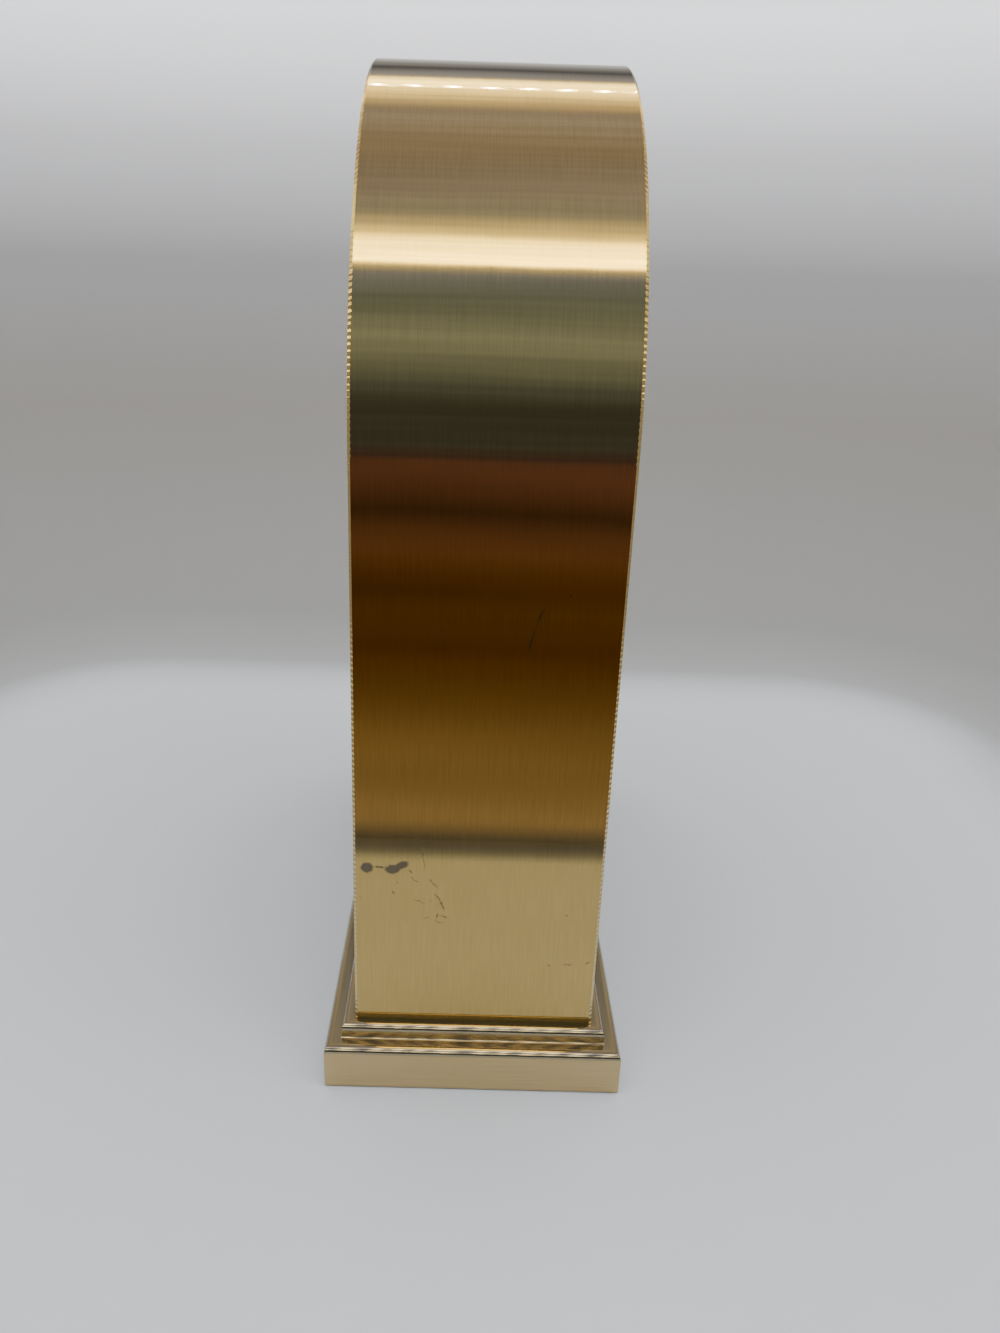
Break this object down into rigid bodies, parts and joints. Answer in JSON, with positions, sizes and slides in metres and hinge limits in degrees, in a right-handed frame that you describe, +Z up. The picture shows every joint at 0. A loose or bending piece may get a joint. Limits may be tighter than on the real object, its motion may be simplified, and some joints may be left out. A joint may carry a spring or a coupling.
{
  "type": "mantel clock",
  "caption": "Arch-top brass mantel clock with straight sides on a stepped plinth, quartz movement and hinged round back door.",
  "frame": {"origin": "on the table under the middle of the clock", "axes": "+Z up, the dial looks towards -Y, +X to the right of someone facing the dial"},
  "size_m": [0.1348, 0.0558, 0.18],
  "materials": {
    "machined_brass": "machined and lightly polished solid brass",
    "brushed_brass": "brass strip brushed along its length",
    "plate_brass": "brass plate with a straight brushed grain",
    "turned_brass": "turned and polished brass",
    "spring_brass": "rolled spring brass",
    "brass_screw": "turned brass, slotted",
    "steel_screw": "zinc-plated steel",
    "felt": "green wool felt",
    "gasket_rubber": "black rubber",
    "clock_glass": "clear domed glass",
    "dial_sheet": "off-white painted aluminium dial with plain numerals",
    "housing_plastic": "black moulded plastic",
    "plate_plastic": "natural moulded plastic",
    "motor_iron": "nickel-iron sheet",
    "bobbin_plastic": "natural moulded plastic",
    "copper_wire": "enamelled copper wire, wound",
    "board_laminate": "green board laminate",
    "chip_resin": "black resin drop",
    "crystal_can": "drawn tin-plated can",
    "contact_steel": "nickel-plated spring steel",
    "wheel_plastic": "natural acetal, moulded",
    "magnet_ferrite": "sintered magnet",
    "knob_plastic": "black moulded plastic, fluted",
    "hand_enamel": "black painted brass hands",
    "battery_jacket": "plain grey cell jacket"
  },
  "bodies": {
    "case": {"plinth": "machined_brass", "base_felt": "felt", "case_band": "brushed_brass", "case_floor": "plate_brass", "tie_screws": "steel_screw", "front_plate": "plate_brass", "back_plate": "plate_brass", "pillars": "turned_brass", "plate_screws": "brass_screw", "bezel": "turned_brass", "glass_gasket": "gasket_rubber", "lens": "clock_glass", "dial_surround": "turned_brass", "dial": "dial_sheet", "dial_screws": "steel_screw", "rubber_washer": "gasket_rubber", "dial_nut": "brass_screw", "movement_front_shell": "housing_plastic", "movement_back_shell": "housing_plastic", "train_plate": "plate_plastic", "stator": "motor_iron", "coil_core": "motor_iron", "coil_bobbin": "bobbin_plastic", "coil_winding": "copper_wire", "circuit_board": "board_laminate", "chip": "chip_resin", "quartz_crystal": "crystal_can", "positive_contact": "contact_steel", "negative_contact": "contact_steel", "hinge_fixed_leaf": "plate_brass", "hinge_pin": "turned_brass", "hinge_rivets": "brass_screw"},
    "minute_drive": {"minute_arbor": "turned_brass", "minute_hand": "hand_enamel", "hand_nut": "turned_brass", "clutch_spring": "contact_steel"},
    "setting_drive": {"minute_wheel": "wheel_plastic", "set_knob": "knob_plastic"},
    "hour_drive": {"hour_wheel": "wheel_plastic", "hour_hand": "hand_enamel"},
    "centre_wheel_body": {"centre_wheel": "wheel_plastic"},
    "third_wheel_body": {"third_wheel": "wheel_plastic"},
    "seconds_wheel_body": {"seconds_wheel": "wheel_plastic"},
    "intermediate_wheel_body": {"intermediate_wheel": "wheel_plastic"},
    "rotor": {"rotor_pinion": "wheel_plastic", "rotor_magnet": "magnet_ferrite"},
    "battery_body": {"battery": "battery_jacket"},
    "door": {"back_door": "plate_brass", "door_knob": "turned_brass", "door_spring": "spring_brass", "hinge_door_leaf": "plate_brass", "door_rivets": "brass_screw"}
  },
  "joints": [
    {"name": "minute_hand_turn", "type": "hinge", "parent": "case", "child": "minute_drive", "pos_m": [0, -0.005, 0.11798], "axis": [0, 1, 0], "continuous": true},
    {"name": "setting_knob_turn", "type": "hinge", "parent": "case", "child": "setting_drive", "pos_m": [0.00945, -0.005, 0.11631], "axis": [0, 1, 0], "continuous": true},
    {"name": "hour_hand_turn", "type": "hinge", "parent": "case", "child": "hour_drive", "pos_m": [0, -0.005, 0.11798], "axis": [0, 1, 0], "continuous": true},
    {"name": "rotor_turn", "type": "hinge", "parent": "case", "child": "rotor", "pos_m": [-0.00383, -0.005, 0.12983], "axis": [0, 1, 0], "continuous": true},
    {"name": "intermediate_wheel_turn", "type": "hinge", "parent": "case", "child": "intermediate_wheel_body", "pos_m": [0.00224, -0.005, 0.12633], "axis": [0, 1, 0], "continuous": true},
    {"name": "seconds_wheel_turn", "type": "hinge", "parent": "case", "child": "seconds_wheel_body", "pos_m": [0, -0.005, 0.11798], "axis": [0, 1, 0], "continuous": true},
    {"name": "third_wheel_turn", "type": "hinge", "parent": "case", "child": "third_wheel_body", "pos_m": [-0.0086, -0.005, 0.11798], "axis": [0, 1, 0], "continuous": true},
    {"name": "centre_wheel_turn", "type": "hinge", "parent": "case", "child": "centre_wheel_body", "pos_m": [0, -0.005, 0.11798], "axis": [0, 1, 0], "continuous": true},
    {"name": "battery_slide", "type": "slide", "parent": "case", "child": "battery_body", "axis": [0, 1, 0], "range_m": [0, 0.016]},
    {"name": "back_door_swing", "type": "hinge", "parent": "case", "child": "door", "pos_m": [0.0442, 0.0214, 0.11798], "axis": [0, 0, -1], "range_deg": [0, 120]}
  ],
  "couplings": [
    {"joint": "setting_knob_turn", "follows": "minute_hand_turn", "ratio": -0.33333},
    {"joint": "hour_hand_turn", "follows": "minute_hand_turn", "ratio": 0.083333},
    {"joint": "intermediate_wheel_turn", "follows": "rotor_turn", "ratio": -0.16667},
    {"joint": "seconds_wheel_turn", "follows": "rotor_turn", "ratio": 0.033333},
    {"joint": "third_wheel_turn", "follows": "rotor_turn", "ratio": -0.0044444},
    {"joint": "centre_wheel_turn", "follows": "rotor_turn", "ratio": 0.00055556}
  ]
}
